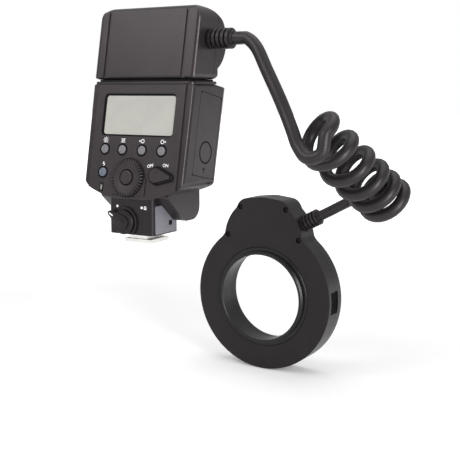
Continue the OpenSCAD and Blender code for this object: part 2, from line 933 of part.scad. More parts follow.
module head_gland() {
    color(soft_black) translate([head_w / 2, head_gland_at[0], head_gland_at[1]]) gland();
}

// Ring head

// Outline of the ring with its bell, drawn in by inset
module ring_outline(inset) {
    c = flank_reach;
    high = bell_top - bell_shoulder;
    high_at = [(c - bell_corner_r - high * sin(flank_angle)) / cos(flank_angle), high];
    f_angle = flank_angle + acos((c + fillet_r) / (ring_r + fillet_r));
    f = (ring_r + fillet_r) * [cos(f_angle), sin(f_angle)];
    on_ring = (ring_r - inset - fillet_under) * [cos(f_angle), sin(f_angle)]
        + fillet_past * [sin(f_angle), -cos(f_angle)];
    on_flank = f - (fillet_r + inset + fillet_under) * [cos(flank_angle), sin(flank_angle)]
        + fillet_past * [-sin(flank_angle), cos(flank_angle)];
    circle(ring_r - inset, $fn = 180);
    around([[-bell_low[0], bell_low[1], bell_corner_r - inset], [bell_low[0], bell_low[1], bell_corner_r - inset],
        [high_at[0], high_at[1], bell_corner_r - inset], [0, bell_top - bell_arch, bell_arch - inset],
        [-high_at[0], high_at[1], bell_corner_r - inset]], fillet_sunk);
    for (s = [0, 1]) mirror([s, 0]) difference() {
        polygon([on_ring, on_flank, bell_low]);
        translate(f) circle(fillet_r + inset + fillet_cut);
    }
}

// Place of the cord's gland on the ring's right flank
ring_gland_x = (flank_reach - ring_gland_slide * sin(flank_angle)) / cos(flank_angle);

module on_flank() {
    ring_frame() translate([ring_gland_x, ring_depth / 2, ring_gland_slide])
        rotate([0, -flank_angle, 0]) children();
}

// Rooms for the two release buttons
module cap_rooms() {
    for (s = [-1, 1]) translate([s * ring_r, 0, 0]) block([0, 0], [4 * wall, 2 * cap_half], cap_y[0], cap_y[1]);
}

module ring_rear_cover() {
    color(plastic) difference() {
        ring_frame() difference() {
            union() {
                difference() {
                    slab_y(0, ring_seam) ring_outline(0);
                    slab_y(wall, ring_seam + 1) ring_outline(wall);
                }
                peg([0, 0], 0, ring_seam - 1.5, adapter_bore_r + bore_wall);
                for (p = screw_at) peg(p, wall / 2, ring_seam, boss_r);
                for (s = [-1, 1]) peg([s * ring_board_size[0] / 4, ring_board_low + ring_board_size[1] / 2],
                    wall / 2, ring_seam + 1, ring_post_r);
            }
            peg([0, 0], -1, far, adapter_bore_r);
            cap_rooms();
            for (p = screw_at) {
                peg(p, -1, head_sink + screw_head_t, screw_head_r);
                peg(p, -1, far, screw_r);
            }
            for (s = [0, 180]) rotate([0, s, 0]) catch_slot();
        }
        on_flank() bar([0, 0], -2 * wall, 2 * wall, gland_neck_r);
    }
}

// Slot in the bore's wall for a latch's hook
module catch_slot() {
    mid = (hook_up[0] + hook_up[1]) / 2;
    translate([-adapter_bore_r, 0, 0])
        block([0, mid], [6 * bore_wall, hook_up[1] - hook_up[0] + 2 * slide_gap],
            catch_y[0] - slide_gap, catch_y[1] + slide_gap);
}

// Ring sector of the flash windows, on the right or the left
module sector(side, angle, r0, r1, y0, y1) {
    rotate([0, side > 0 ? 0 : 180, 0]) spin(angle) translate([r0, y0]) square([r1 - r0, y1 - y0]);
}

module ring_front_housing() {
    front = ring_depth - wall;
    color(plastic) difference() {
        ring_frame() difference() {
            union() {
                difference() {
                    slab_y(ring_seam, ring_depth) ring_outline(0);
                    slab_y(ring_seam - 1, front) ring_outline(wall);
                }
                peg([0, 0], adapter_len + bore_gap, ring_depth, inner_r + wall);
            }
            peg([0, 0], -1, far, inner_r);
            cap_rooms();
            for (s = [-1, 1]) sector(s, window_angle, reflector_in, reflector_out, front - 1, ring_depth + 1);
            for (a = lamp_angles) peg(tube_mid_r * [cos(a), sin(a)], front - 1, far, lamp_r);
        }
        on_flank() bar([0, 0], -2 * wall, 2 * wall, gland_neck_r);
    }
}

// Trough behind a flash window
module reflector(side) {
    front = ring_depth - wall;
    floor_y = ring_seam + 0.8;
    color("#d7d8d6") ring_frame() difference() {
        sector(side, window_angle - 4, reflector_in, reflector_out, floor_y,
            front - window_inset - shaft_gap);
        sector(side, window_angle, reflector_in + reflector_t, reflector_out - reflector_t,
            floor_y + reflector_t, front);
    }
}

module reflector_right() { reflector(1); }
module reflector_left() { reflector(-1); }

module flash_tube(side) {
    y = ring_seam + 0.8 + reflector_t + tube_r;
    color("#e8e6dc") ring_frame() rotate([0, side > 0 ? 0 : 180, 0])
        spin(window_angle - 10) translate([tube_mid_r, y]) circle(tube_r);
}

module flash_tube_right() { flash_tube(1); }
module flash_tube_left() { flash_tube(-1); }

module diffuser(side) {
    front = ring_depth - wall;
    color("#f2f1ec") ring_frame()
        sector(side, window_angle, reflector_in, reflector_out, front - window_inset, ring_depth + window_inset);
}

module diffuser_right() { diffuser(1); }
module diffuser_left() { diffuser(-1); }

module focus_lamps() {
    color("#fbf6df") ring_frame() for (a = lamp_angles)
        peg(tube_mid_r * [cos(a), sin(a)], ring_depth - 2 * wall, ring_depth + window_inset / 2, lamp_r);
}

module ring_board() {
    color("#2f5d3a") ring_frame()
        block([0, ring_board_low + ring_board_size[1] / 2], ring_board_size, ring_seam + 1, ring_seam + 1 + board_t);
}

module ring_gland() {
    color(soft_black) on_flank() gland();
}

module ring_screws() {
    color("#3a3a3c") ring_frame() for (p = screw_at) {
        peg(p, head_sink, head_sink + screw_head_t, screw_head_r);
        peg(p, head_sink, ring_seam, screw_r);
    }
}

// Release latch with its button on the right and its hook across the bore on the left
module latch() {
    cap_out = sqrt(ring_r * ring_r - cap_half * cap_half) - cap_sink;
    color(soft_black) {
        slab_y(catch_y[0], catch_y[1]) difference() {
            union() {
                difference() {
                    intersection() {
                        circle(frame_out);
                        union() {
                            translate([0, -stem_half]) square([far, far]);
                            translate([-far, hook_up[0]]) square([far, far]);
                        }
                    }
                    circle(frame_in);
                }
                translate([frame_in + 1, -stem_half]) square([cap_out - frame_in - 2, 2 * stem_half]);
                translate([-frame_in - 1, hook_up[0]]) square([frame_in / 2, hook_up[1] - hook_up[0]]);
            }
            circle(catch_tip);
        }
        mid = [cap_out - cap_block / 2, 0];
        block(mid, [cap_block, 2 * (cap_half - slide_gap)], cap_y[0] + slide_gap, ring_seam - slide_gap);
        block([cap_out - cap_skin / 2, 0], [cap_skin, 2 * (cap_half - slide_gap)],
            cap_y[0] + slide_gap, cap_y[1] - slide_gap);
    }
}

module latch_right() { ring_frame() latch(); }
module latch_left() { ring_frame() rotate([0, 180, 0]) latch(); }

// Return spring between a latch's hook and the ring's wall, as a plain sleeve
module latch_spring() {
    up = (hook_up[0] + hook_up[1]) / 2;
    y = (catch_y[0] + catch_y[1]) / 2;
    x1 = -sqrt(frame_out * frame_out - pow(up - spring_r, 2)) - slide_gap;
    x0 = -sqrt(pow(ring_r - wall, 2) - pow(up + spring_r, 2)) + slide_gap;
    color(metal) difference() {
        bar([y, up], x0, x1, spring_r);
        bar([y, up], x0 - 1, x1 + 1, spring_r - spring_wire);
    }
}

module latch_spring_right() { ring_frame() latch_spring(); }
module latch_spring_left() { ring_frame() rotate([0, 180, 0]) latch_spring(); }

// Threaded adapter that carries the ring on its groove
module lens_adapter() {
    body_r = adapter_bore_r - bore_gap;
    color("#232224") ring_frame() difference() {
        union() {
            peg([0, 0], -adapter_lip, adapter_len, body_r);
            peg([0, 0], -adapter_lip - thread_len, 0, thread_r);
        }
        peg([0, 0], -far, far, aperture_r);
        difference() {
            peg([0, 0], catch_y[0] - slide_gap, catch_y[1] + slide_gap, far);
            peg([0, 0], 0, far, catch_groove);
        }
    }
}

// Curly cord

// Middle of the cord on its curls, at a number of turns from the first
curl_way = curl_end - curl_start;
curl_axis = unit(curl_way);
curl_side = unit(cross(curl_axis, [0, 0, 1]));
curl_up = cross(curl_side, curl_axis);
function curl_point(t) =
    let (s = t / curl_turns, along = s + curl_spread * s * (1 - s), a = 360 * t + curl_phase)
    curl_start + along * curl_way + curl_r * (sin(a) * curl_side - cos(a) * curl_up);

// Smooth curve through points, with one more point beyond each end
function curve_at(p, i, t) =
    0.5 * (2 * p[i] + (p[i + 1] - p[i - 1]) * t + (2 * p[i - 1] - 5 * p[i] + 4 * p[i + 1] - p[i + 2]) * t * t
    + (3 * p[i] - p[i - 1] - 3 * p[i + 1] + p[i + 2]) * t * t * t);
function curve(p) = [for (i = [1:len(p) - 3]) for (k = [0:spline_steps - 1]) curve_at(p, i, k / spline_steps)];

head_exit = [head_w / 2 + gland_len, head_gland_at[0], head_gland_at[1]];
head_straight = head_exit + [cord_d, 0, 0];
flank_way = [cos(flank_angle), 0, sin(flank_angle)];
ring_exit = [ring_gland_x, ring_y + ring_depth / 2, ring_gland_slide - ring_drop] + gland_len * flank_way;
ring_straight = ring_exit + cord_d * flank_way;

lead_path = concat([head_exit],
    curve(concat([head_exit, head_straight], lead_points, [curl_point(curl_first), curl_point(curl_first + 0.08)])));
coil_steps = round((curl_turns - curl_first) * curl_rings);
coil_path = [for (i = [0:coil_steps]) curl_point(curl_first + (curl_turns - curl_first) * i / coil_steps)];
tail_path = concat(
    curve(concat([curl_point(curl_turns - 0.08), curl_point(curl_turns)], tail_points, [ring_straight, ring_exit])),
    [ring_straight, ring_exit]);

cord_path = concat(lead_path, coil_path, [for (i = [1:len(tail_path) - 1]) tail_path[i]]);
cord_last = len(cord_path) - 1;
cord_way = [for (i = [0:cord_last])
    i == 0 ? [1, 0, 0] : i == cord_last ? -flank_way : unit(cord_path[i + 1] - cord_path[i - 1])];

// Side vector at each ring, carried along the path without twist
function carried(n, t) = unit(n - (n * t) * t);
cord_side = [for (i = 0, n = carried([0, 1, 0], cord_way[0]); i <= cord_last;
    i = i + 1, n = i <= cord_last ? carried(n, cord_way[i]) : n) n];
cord_rings = [for (i = [0:cord_last]) let (u = cord_side[i], v = cross(cord_way[i], u))
    [for (k = [0:cord_sides - 1]) let (a = 360 * k / cord_sides)
        cord_path[i] + cord_d / 2 * (cos(a) * u + sin(a) * v)]];

// Tube through the cord's rings from first to last
module cord_tube(first, last) {
    n = cord_sides;
    m = last - first;
    walls = [for (i = [0:m - 1]) for (k = [0:n - 1])
        let (a = i * n + k, b = i * n + (k + 1) % n)
        each [[a, a + n, b], [b, a + n, b + n]]];
    caps = [for (k = [1:n - 2]) each [[0, k, k + 1], [m * n, m * n + k + 1, m * n + k]]];
    color(soft_black) polyhedron(points = [for (i = [first:last]) each cord_rings[i]], faces = concat(walls, caps));
}

lead_end = len(lead_path);
coil_end = lead_end + coil_steps;
module cord_lead() { cord_tube(0, lead_end); }
module cord_coil() { cord_tube(lead_end, coil_end); }
module cord_tail() { cord_tube(coil_end, cord_last); }

// Least gap of the cord to itself, measured between points more than half a curl apart
apart = round(curl_rings / 2);
cord_gaps = [for (i = [0:cord_last - apart]) for (j = [i + apart:cord_last]) norm(cord_path[i] - cord_path[j])];
cord_length = [for (i = 0, s = 0; i < cord_last; s = s + norm(cord_path[i + 1] - cord_path[i]), i = i + 1) s];
echo(least_gap = min(cord_gaps) - cord_d, cord_length = cord_length[cord_last - 1]);

control_panel();
rear_housing();
front_housing();
base_cover();
assist_window();
foot_block();
shoe_plate();
contact_pins();
lcd_window();
lcd_module();
main_board();
tact_switches();
dial_encoder();
sensor_window();
battery_tray();
battery_cells();
tray_contacts();
door_pins();
neck_collar();
lens_adapter();
button_lamp();
button_mode();
button_a();
button_b();
pilot_button();
set_button();
dial();
power_switch();
lock_lever();
lock_pin();
battery_door();
door_contacts();
head_rear_shell();
head_front_shell();
capacitor();
swivel_shaft();
head_gland();
ring_rear_cover();
ring_front_housing();
reflector_right();
reflector_left();
flash_tube_right();
flash_tube_left();
diffuser_right();
diffuser_left();
focus_lamps();
ring_board();
ring_gland();
ring_screws();
latch_right();
latch_left();
latch_spring_right();
latch_spring_left();
cord_lead();
cord_coil();
cord_tail();
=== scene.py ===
import json
import math

import bpy
from mathutils import Matrix, Vector


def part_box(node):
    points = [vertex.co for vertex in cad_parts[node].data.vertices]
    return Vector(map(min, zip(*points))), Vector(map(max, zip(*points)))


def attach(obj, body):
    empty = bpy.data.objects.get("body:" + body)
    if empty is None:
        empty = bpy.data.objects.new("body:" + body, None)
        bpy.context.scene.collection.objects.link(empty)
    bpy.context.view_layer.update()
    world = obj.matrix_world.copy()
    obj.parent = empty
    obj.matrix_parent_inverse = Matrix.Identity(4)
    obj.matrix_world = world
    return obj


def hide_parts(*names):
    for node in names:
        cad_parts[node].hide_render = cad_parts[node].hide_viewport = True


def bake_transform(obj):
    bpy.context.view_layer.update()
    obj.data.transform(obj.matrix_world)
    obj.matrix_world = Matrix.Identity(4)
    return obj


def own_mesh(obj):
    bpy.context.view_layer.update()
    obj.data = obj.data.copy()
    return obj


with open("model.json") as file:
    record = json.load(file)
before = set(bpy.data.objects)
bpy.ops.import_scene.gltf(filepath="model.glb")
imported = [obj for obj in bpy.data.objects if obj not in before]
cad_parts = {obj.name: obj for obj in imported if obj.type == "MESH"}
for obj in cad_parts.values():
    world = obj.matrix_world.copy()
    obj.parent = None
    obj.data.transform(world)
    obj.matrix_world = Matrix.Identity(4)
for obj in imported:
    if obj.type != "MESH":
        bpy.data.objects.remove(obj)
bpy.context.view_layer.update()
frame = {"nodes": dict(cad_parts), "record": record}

# Frames of the part, as in its source. Lengths are in millimetres until MM makes metres of them

MM = 0.001
LEAN = math.radians(11.5)  # of the control panel
DRAFT = math.radians(0.6)  # of the body's sides
HALF_WIDTH = 34.848  # of the body at the panel's lower end
FLANK = math.radians(27.2)  # of the ring's shoulders
FOOT_HALF = 15.5  # from the middle of the foot to its back and to its sides
RING_AT = (0, 140, -62)  # middle of the ring's rear face


def shift(x, y, z):
    """Matrix that moves by millimetres."""
    return Matrix.Translation(Vector((x, y, z)) * MM)


def turn(degrees, axis):
    """Matrix that turns about an axis."""
    return Matrix.Rotation(math.radians(degrees), 4, axis)


def polar(radius, degrees):
    """Point at a radius and an angle."""
    return radius * math.cos(math.radians(degrees)), radius * math.sin(math.radians(degrees))


PANEL = shift(0, -15.6, 30) @ Matrix.Rotation(-LEAN, 4, "X")
SIDE = PANEL @ Matrix.Rotation(DRAFT, 4, "Y")
RING = shift(*RING_AT)
# A piece made flat on XY and facing +Z: stood up to face -Y, or to face +X
FACE_BACK = turn(90, "X")
FACE_RIGHT = turn(90, "Z") @ turn(90, "X")


def on_panel(across, up):
    """Place on the control panel, facing out of it."""
    return PANEL @ shift(across, 0, up) @ FACE_BACK


# Camera at the photograph's viewing angle

AZIMUTH = math.radians(31.1)
ELEVATION = math.radians(8.9)
CAMERA_AT = (310.2, -419.8, 87.4)
back = Vector((math.sin(AZIMUTH) * math.cos(ELEVATION), -math.cos(AZIMUTH) * math.cos(ELEVATION),
               math.sin(ELEVATION)))
camera = bpy.data.objects.new("camera", bpy.data.cameras.new("camera"))
camera.data.sensor_width = 36
camera.data.lens = 70.12
camera.data.clip_start = 0.01
camera.data.clip_end = 50
camera.location = Vector(CAMERA_AT) * MM
camera.rotation_mode = "QUATERNION"
camera.rotation_quaternion = (-back).to_track_quat("-Z", "Y")
bpy.context.scene.collection.objects.link(camera)
bpy.context.scene.camera = camera


# Materials

class Finish:
    """A material's node tree with short calls for what every finish here uses."""

    def __init__(self, name):
        self.material = bpy.data.materials.new(name)
        self.material.use_nodes = True
        self.nodes = self.material.node_tree.nodes
        self.links = self.material.node_tree.links
        self.shader = self.nodes["Principled BSDF"]
        self.place = self.nodes.new("ShaderNodeTexCoord").outputs["Object"]

    def set(self, **sockets):
        """Sets sockets of the shader, with _ for a space in their names."""
        for name, value in sockets.items():
            self.shader.inputs[name.replace("_", " ")].default_value = value
        return self

    def noise(self, scale, detail, rough=0.55):
        """Cloudy pattern."""
        node = self.nodes.new("ShaderNodeTexNoise")
        node.inputs["Scale"].default_value = scale
        node.inputs["Detail"].default_value = detail
        node.inputs["Roughness"].default_value = rough
        self.links.new(self.place, node.inputs["Vector"])
        return node.outputs["Fac"]

    def wave(self, scale, direction):
        """Pattern of bands."""
        node = self.nodes.new("ShaderNodeTexWave")
        node.bands_direction = direction
        node.inputs["Scale"].default_value = scale
        self.links.new(self.place, node.inputs["Vector"])
        return node.outputs["Fac"]

    def colour(self, factor, dark, light):
        """Base colour that goes from dark to light with a pattern."""
        ramp = self.nodes.new("ShaderNodeValToRGB")
        ramp.color_ramp.elements[0].position = 0.35
        ramp.color_ramp.elements[1].position = 0.65
        ramp.color_ramp.elements[0].color = (*dark, 1)
        ramp.color_ramp.elements[1].color = (*light, 1)
        self.links.new(factor, ramp.inputs["Fac"])
        self.links.new(ramp.outputs["Color"], self.shader.inputs["Base Color"])

    def roughness(self, factor, low, high):
        """Roughness that goes from low to high with a pattern."""
        span = self.nodes.new("ShaderNodeMapRange")
        span.inputs["To Min"].default_value = low
        span.inputs["To Max"].default_value = high
        self.links.new(factor, span.inputs["Value"])
        self.links.new(span.outputs["Result"], self.shader.inputs["Roughness"])

    def bump(self, factor, strength, distance):
        """Fine relief from a pattern."""
        node = self.nodes.new("ShaderNodeBump")
        node.inputs["Strength"].default_value = strength
        node.inputs["Distance"].default_value = distance
        self.links.new(factor, node.inputs["Height"])
        self.links.new(node.outputs["Normal"], self.shader.inputs["Normal"])


def tint(colour, factor):
    """Lighter or darker colour."""
    return tuple(c * factor for c in colour)


def moulded(name, colour, low, high, grain=2600, depth=0.1, spread=0.12):
    """Moulded plastic: a fine spark-eroded grain over slow changes of tone and gloss."""
    finish = Finish(name)
    finish.colour(finish.noise(90, 5), tint(colour, 1 - spread), tint(colour, 1 + spread))
    finish.roughness(finish.noise(260, 3), low, high)
    finish.bump(finish.noise(grain, 2, 0.6), depth, 0.00006)
    return finish.set(IOR=1.5)


def metal(name, colour, low, high):
    """Brushed metal with fine lines across X."""
    finish = Finish(name)
    finish.colour(finish.noise(120, 4), tint(colour, 0.9), tint(colour, 1.06))
    finish.roughness(finish.noise(500, 4), low, high)
    finish.bump(finish.wave(900, "X"), 0.12, 0.00003)
    return finish.set(Metallic=1.0)


WARM_GLOSS = (1, 0.9, 0.95, 1)
finishes = {
    "shell_plastic": moulded("shell_plastic", (0.0165, 0.0138, 0.0148), 0.26, 0.34, 2600, 0.05),
    "panel_plastic": moulded("panel_plastic", (0.019, 0.0158, 0.0168), 0.34, 0.44),
    "soft_black": moulded("soft_black", (0.008, 0.0074, 0.0078), 0.32, 0.44, 2200, 0.2),
    "cap_grey": moulded("cap_grey", (0.135, 0.129, 0.14), 0.4, 0.52, 3000, 0.15, 0.06),
    "pilot_cap": moulded("pilot_cap", (0.1, 0.115, 0.155), 0.22, 0.34, 2000, 0.05, 0.08),
    "display_glass": moulded("display_glass", (0.343, 0.337, 0.31), 0.1, 0.16, 400, 0.02, 0.04),
    "display_body": moulded("display_body", (0.3, 0.31, 0.3), 0.3, 0.4),
    "board": moulded("board", (0.03, 0.11, 0.05), 0.25, 0.4, 800, 0.2, 0.2),
    "steel": metal("steel", (0.66, 0.65, 0.63), 0.22, 0.36),
    "gilt_contact": metal("gilt_contact", (0.72, 0.55, 0.24), 0.15, 0.28),
    "cell_case": moulded("cell_case", (0.2, 0.19, 0.1), 0.25, 0.4, 900, 0.1),
    "red_window": moulded("red_window", (0.05, 0.004, 0.006), 0.05, 0.1, 300, 0.02),
    "capacitor_sleeve": moulded("capacitor_sleeve", (0.02, 0.025, 0.035), 0.2, 0.3, 700, 0.1),
    "adapter_metal": moulded("adapter_metal", (0.016, 0.016, 0.017), 0.28, 0.4, 3000, 0.12),
    "reflector_metal": metal("reflector_metal", (0.85, 0.85, 0.84), 0.08, 0.18),
    "tube_glass": moulded("tube_glass", (0.75, 0.75, 0.7), 0.04, 0.08, 300, 0.02),
    "diffuser_plastic": moulded("diffuser_plastic", (0.72, 0.72, 0.69), 0.14, 0.24, 500, 0.05, 0.03),
    "lamp_lens": moulded("lamp_lens", (0.75, 0.72, 0.58), 0.06, 0.12, 400, 0.03, 0.05),
    "screw_steel": metal("screw_steel", (0.02, 0.02, 0.022), 0.3, 0.45),
    "cord_rubber": moulded("cord_rubber", (0.01, 0.0092, 0.0098), 0.34, 0.46, 1500, 0.16),
}
finishes["adapter_metal"].set(Metallic=0.6)
GLOSS = {"shell_plastic": 0.36, "panel_plastic": 0.36, "soft_black": 0.24, "cord_rubber": 0.36}
for name, level in GLOSS.items():
    finishes[name].set(Specular_IOR_Level=level, Specular_Tint=WARM_GLOSS)
white_print = moulded("white_print", (0.78, 0.78, 0.77), 0.45, 0.6, 1200, 0.05, 0.03).material
# Matte black: the own black of latches, ribs and door marks, and painted shade in seams, gaps, recesses and
# slots
black_and_shade = moulded("black_and_shade", (0.002, 0.002, 0.0022), 0.6, 0.75, 900, 0.06).set(
    Specular_IOR_Level=0.12).material
ring_black = moulded("ring_black", (0.0088, 0.0076, 0.0082), 0.3, 0.4, 2600, 0.05).set(
    Specular_IOR_Level=0.26, Specular_Tint=WARM_GLOSS).material
side_grey = moulded("side_grey", (0.125, 0.122, 0.142), 0.38, 0.5, 2400, 0.2).material


def finish_of(name):
    """Material of a slot."""
    return finishes[name].material


# The solids in their finishes; the pins of the door are black

node_slot = {s["node"]: s["material_slot"] for s in frame["record"]["subparts"]}
node_body = {n: b for b, members in frame["record"]["behaviour"]["bodies"].items() for n in members}
for node, shown in frame["nodes"].items():
    shown.data.materials.clear()
    shown.data.materials.append(finish_of("screw_steel" if node == "door_pins" else node_slot[node]))


# Modelling calls

def select_only(piece):
    """Makes a piece the selected and active one."""
    bpy.ops.object.select_all(action="DESELECT")
    piece.select_set(True)
    bpy.context.view_layer.objects.active = piece


def open_edit(piece):
    """Goes into edit mode on one piece."""
    select_only(piece)
    bpy.ops.object.mode_set(mode="EDIT")


def close_edit():
    """Leaves edit mode."""
    bpy.ops.object.mode_set(mode="OBJECT")


def pick(piece, test, kind="VERT"):
    """Selects the vertices or faces that a test of their middle chooses, and goes into edit mode."""
    open_edit(piece)
    bpy.ops.mesh.select_mode(type=kind)
    bpy.ops.mesh.select_all(action="DESELECT")
    close_edit()
    if kind == "VERT":
        for v in piece.data.vertices:
            v.select = test(v.co / MM)
    else:
        for f in piece.data.polygons:
            f.select = test(f.center / MM, f.normal)
    open_edit(piece)


def paint(piece, index):
    """Gives the chosen faces one of the piece's materials, and leaves edit mode."""
    piece.active_material_index = index
    bpy.ops.object.material_slot_assign()
    close_edit()


def extrude(height):
    """Extrudes the selection upwards."""
    bpy.ops.mesh.extrude_region_move(TRANSFORM_OT_translate={"value": (0, 0, height * MM)})


def resize(x, y, middle=(0, 0, 0)):
    """Scales the selection in X and Y."""
    bpy.ops.transform.resize(value=(x, y, 1), center_override=[c * MM for c in middle])


def tidy_mesh(piece, angle=35.0):
    """Merges doubles, turns faces outwards and smooths all but the sharp edges."""
    open_edit(piece)
    bpy.ops.mesh.select_all(action="SELECT")
    bpy.ops.mesh.remove_doubles(threshold=1e-6)
    bpy.ops.mesh.normals_make_consistent(inside=False)
    close_edit()
    select_only(piece)
    bpy.ops.object.shade_smooth_by_angle(angle=math.radians(angle))
    return piece


def keep(piece, name, body, material, place=None, stands_for=()):
    """Puts a finished mesh in its place, gives it a material if it has none, ties it to its body and hides
    the solids it stands for.
    """
    piece.name = name
    piece.data.name = name
    if place is not None:
        piece.data.transform(place)
    if len(piece.data.materials) == 0:
        piece.data.materials.append(material)
    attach(piece, body)
    if stands_for:
        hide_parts(*stands_for)


def turned(profile, sides):
    """Solid turned about Z from (radius, height) points in millimetres."""
    radius, height = profile[0]
    bpy.ops.object.select_all(action="DESELECT")
    bpy.ops.mesh.primitive_circle_add(vertices=sides, radius=radius * MM, fill_type="NGON")
    piece = bpy.context.object
    open_edit(piece)
    bpy.ops.mesh.select_all(action="SELECT")
    bpy.ops.transform.translate(value=(0, 0, height * MM))
    for next_radius, next_height in profile[1:]:
        extrude(next_height - height)
        resize(next_radius / radius, next_radius / radius, (0, 0, next_height))
        radius, height = next_radius, next_height
    close_edit()
    return tidy_mesh(piece)


def turned_ring(profile, sides=128):
    """Ring turned about Z from a closed loop of (radius, height) points in millimetres."""
    radius, height = profile[0]
    bpy.ops.object.select_all(action="DESELECT")
    bpy.ops.mesh.primitive_circle_add(vertices=sides, radius=radius * MM, fill_type="NOTHING")
    piece = bpy.context.object
    open_edit(piece)
    bpy.ops.mesh.select_all(action="SELECT")
    bpy.ops.transform.translate(value=(0, 0, height * MM))
    for next_radius, next_height in [*profile[1:], profile[0]]:
        bpy.ops.mesh.extrude_edges_move(
            TRANSFORM_OT_translate={"value": (0, 0, (next_height - height) * MM)})
        resize(next_radius / radius, next_radius / radius, (0, 0, next_height))
        radius, height = next_radius, next_height
    close_edit()
    return tidy_mesh(piece)


def plate(width, height, corner, low, high, edge=0.0, middle=(0, 0), segments=6):
    """Flat plate with round corners, from height low to high, with its upper edge rounded."""
    bpy.ops.object.select_all(action="DESELECT")
    bpy.ops.mesh.primitive_plane_add(size=MM)
    piece = bpy.context.object
    open_edit(piece)
    bpy.ops.mesh.select_all(action="SELECT")
    resize(width, height)
    bpy.ops.transform.translate(value=(middle[0] * MM, middle[1] * MM, low * MM))
    if corner:
        bpy.ops.mesh.bevel(offset=corner * MM, segments=segments, affect="VERTICES")
        bpy.ops.mesh.select_all(action="SELECT")
    extrude(high - low)
    if edge:
        bpy.ops.mesh.bevel(offset=edge * MM, segments=3, affect="EDGES")
    close_edit()
    return tidy_mesh(piece)


def teardrop(round_r, tip_r, tip, low, high, edge):
    """Plate with a round end about the origin and a smaller round end at tip."""
    bpy.ops.object.select_all(action="DESELECT")
    bpy.ops.mesh.primitive_circle_add(vertices=72, radius=round_r * MM, fill_type="NGON")
    piece = bpy.context.object
    heading = math.atan2(tip[1], tip[0])
    reach = math.acos((round_r - tip_r) / math.hypot(*tip))

    def at_tip(p):
        angle = math.atan2(p.y, p.x) - heading
        return abs((angle + math.pi) % (2 * math.pi) - math.pi) <= reach

    pick(piece, at_tip)
    resize(tip_r / round_r, tip_r / round_r)
    bpy.ops.transform.translate(value=(tip[0] * MM, tip[1] * MM, 0))
    bpy.ops.mesh.select_all(action="SELECT")
    bpy.ops.transform.translate(value=(0, 0, low * MM))
    extrude(high - low)
    bpy.ops.mesh.bevel(offset=edge * MM, segments=3, affect="EDGES")
    close_edit()
    return tidy_mesh(piece)


def joined(pieces):
    """One piece from several."""
    bpy.ops.object.select_all(action="DESELECT")
    for piece in pieces:
        piece.select_set(True)
    bpy.context.view_layer.objects.active = pieces[0]
    bpy.ops.object.join()
    return bpy.context.object


def moved(piece, place):
    """Moves a piece's mesh by a matrix."""
    piece.data.transform(place)
    return piece


def two_finishes(piece, main, other):
    """Gives a piece two materials to paint its faces with."""
    piece.data.materials.append(main)
    piece.data.materials.append(other)


ROUNDED_OVER = math.radians(28)  # edges sharper than this are rounded
CREASED_OVER = math.radians(32)  # edges sharper than this stay creased


def dressed(node, width=0.3, seam_shade=False):
    """Copy of a solid with its sharp edges rounded; on a seam piece the rounding is painted black, as
    painted shade of the seams.
    """
    piece = bpy.data.objects.new(node + "_shape", frame["nodes"][node].data.copy())
    bpy.context.scene.collection.objects.link(piece)
    piece.data.materials.clear()
    piece.data.materials.append(finish_of(node_slot[node]))
    open_edit(piece)
    bpy.ops.mesh.select_all(action="SELECT")
    bpy.ops.mesh.remove_doubles(threshold=2e-6)
    bpy.ops.mesh.customdata_custom_splitnormals_clear()
    bpy.ops.mesh.dissolve_limited(angle_limit=math.radians(0.6))
    close_edit()
    bevel = piece.modifiers.new("edges", "BEVEL")
    bevel.width = width * MM
    bevel.segments = 2
    bevel.limit_method = "ANGLE"
    bevel.angle_limit = ROUNDED_OVER
    bevel.use_clamp_overlap = True
    # Rounded edges painted black: painted shade of the seams
    if seam_shade:
        piece.data.materials.append(black_and_shade)
        bevel.material = 1
    select_only(piece)
    bpy.ops.object.modifier_apply(modifier="edges")
    bpy.ops.object.shade_smooth_by_angle(angle=CREASED_OVER)
    flat = piece.modifiers.new("flat", "WEIGHTED_NORMAL")
    flat.keep_sharp = True
    bpy.ops.object.modifier_apply(modifier="flat")
    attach(piece, node_body[node])
    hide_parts(node)
    return piece


# Curly cord: the lead from the swivel head, then the curls and the tail to the ring, both tied to the
# control unit

CORD_D = 7.2
CURL_START = Vector((102, 4, 68))
CURL_END = Vector((127, 58, 24))
CURL_R = 12
CURL_TURNS = 5.6
CURL_FIRST = 0.2
CURL_PHASE = 11
CURL_SPREAD = 0.4
CURL_STEPS = 150
CURL_EASE = 0.08  # part of a turn that leads the straight lengths into the curls
CURL_OVERLAP = 0.03  # part of a turn that both pieces of the cord share
LEAD = [(66, 13, 110), (74, 10, 98), (82, 7, 86), (88, 5, 76), (94, 2, 66), (98.5, 0, 58), (105, -2, 52.5),
        (112.5, -1, 55)]
TAIL = [(115, 68, 24), (106, 74, 19), (97, 91, 16), (88, 112, 15), (77, 133, 14), (66, 146, 12)]
GLAND_LEN = 16
GLAND_UP = 54.2  # of the ring's gland, over the middle of the ring
GLAND_DEEP = 10  # of the ring's gland, from the ring's rear face
FLANK_OUT = 48.95  # of the ring's shoulder, from the middle of the ring
LINE_STEPS = 8
HEAD_EXIT = Vector((51, 15, 115.6))
FLANK_WAY = Vector((math.cos(FLANK), 0, math.sin(FLANK)))
RING_GLAND = Vector(((FLANK_OUT - GLAND_UP * math.sin(FLANK)) / math.cos(FLANK), RING_AT[1] + GLAND_DEEP,
                     RING_AT[2] + GLAND_UP))
RING_EXIT = RING_GLAND + GLAND_LEN * FLANK_WAY


def curl_point(t):
    """Middle of the cord after t turns."""
    way = CURL_END - CURL_START
    axis = way.normalized()
    side = axis.cross(Vector((0, 0, 1))).normalized()
    up = side.cross(axis)
    s = t / CURL_TURNS
    along = s + CURL_SPREAD * s * (1 - s)
    a = math.radians(360 * t + CURL_PHASE)
    return CURL_START + along * way + CURL_R * (math.sin(a) * side - math.cos(a) * up)


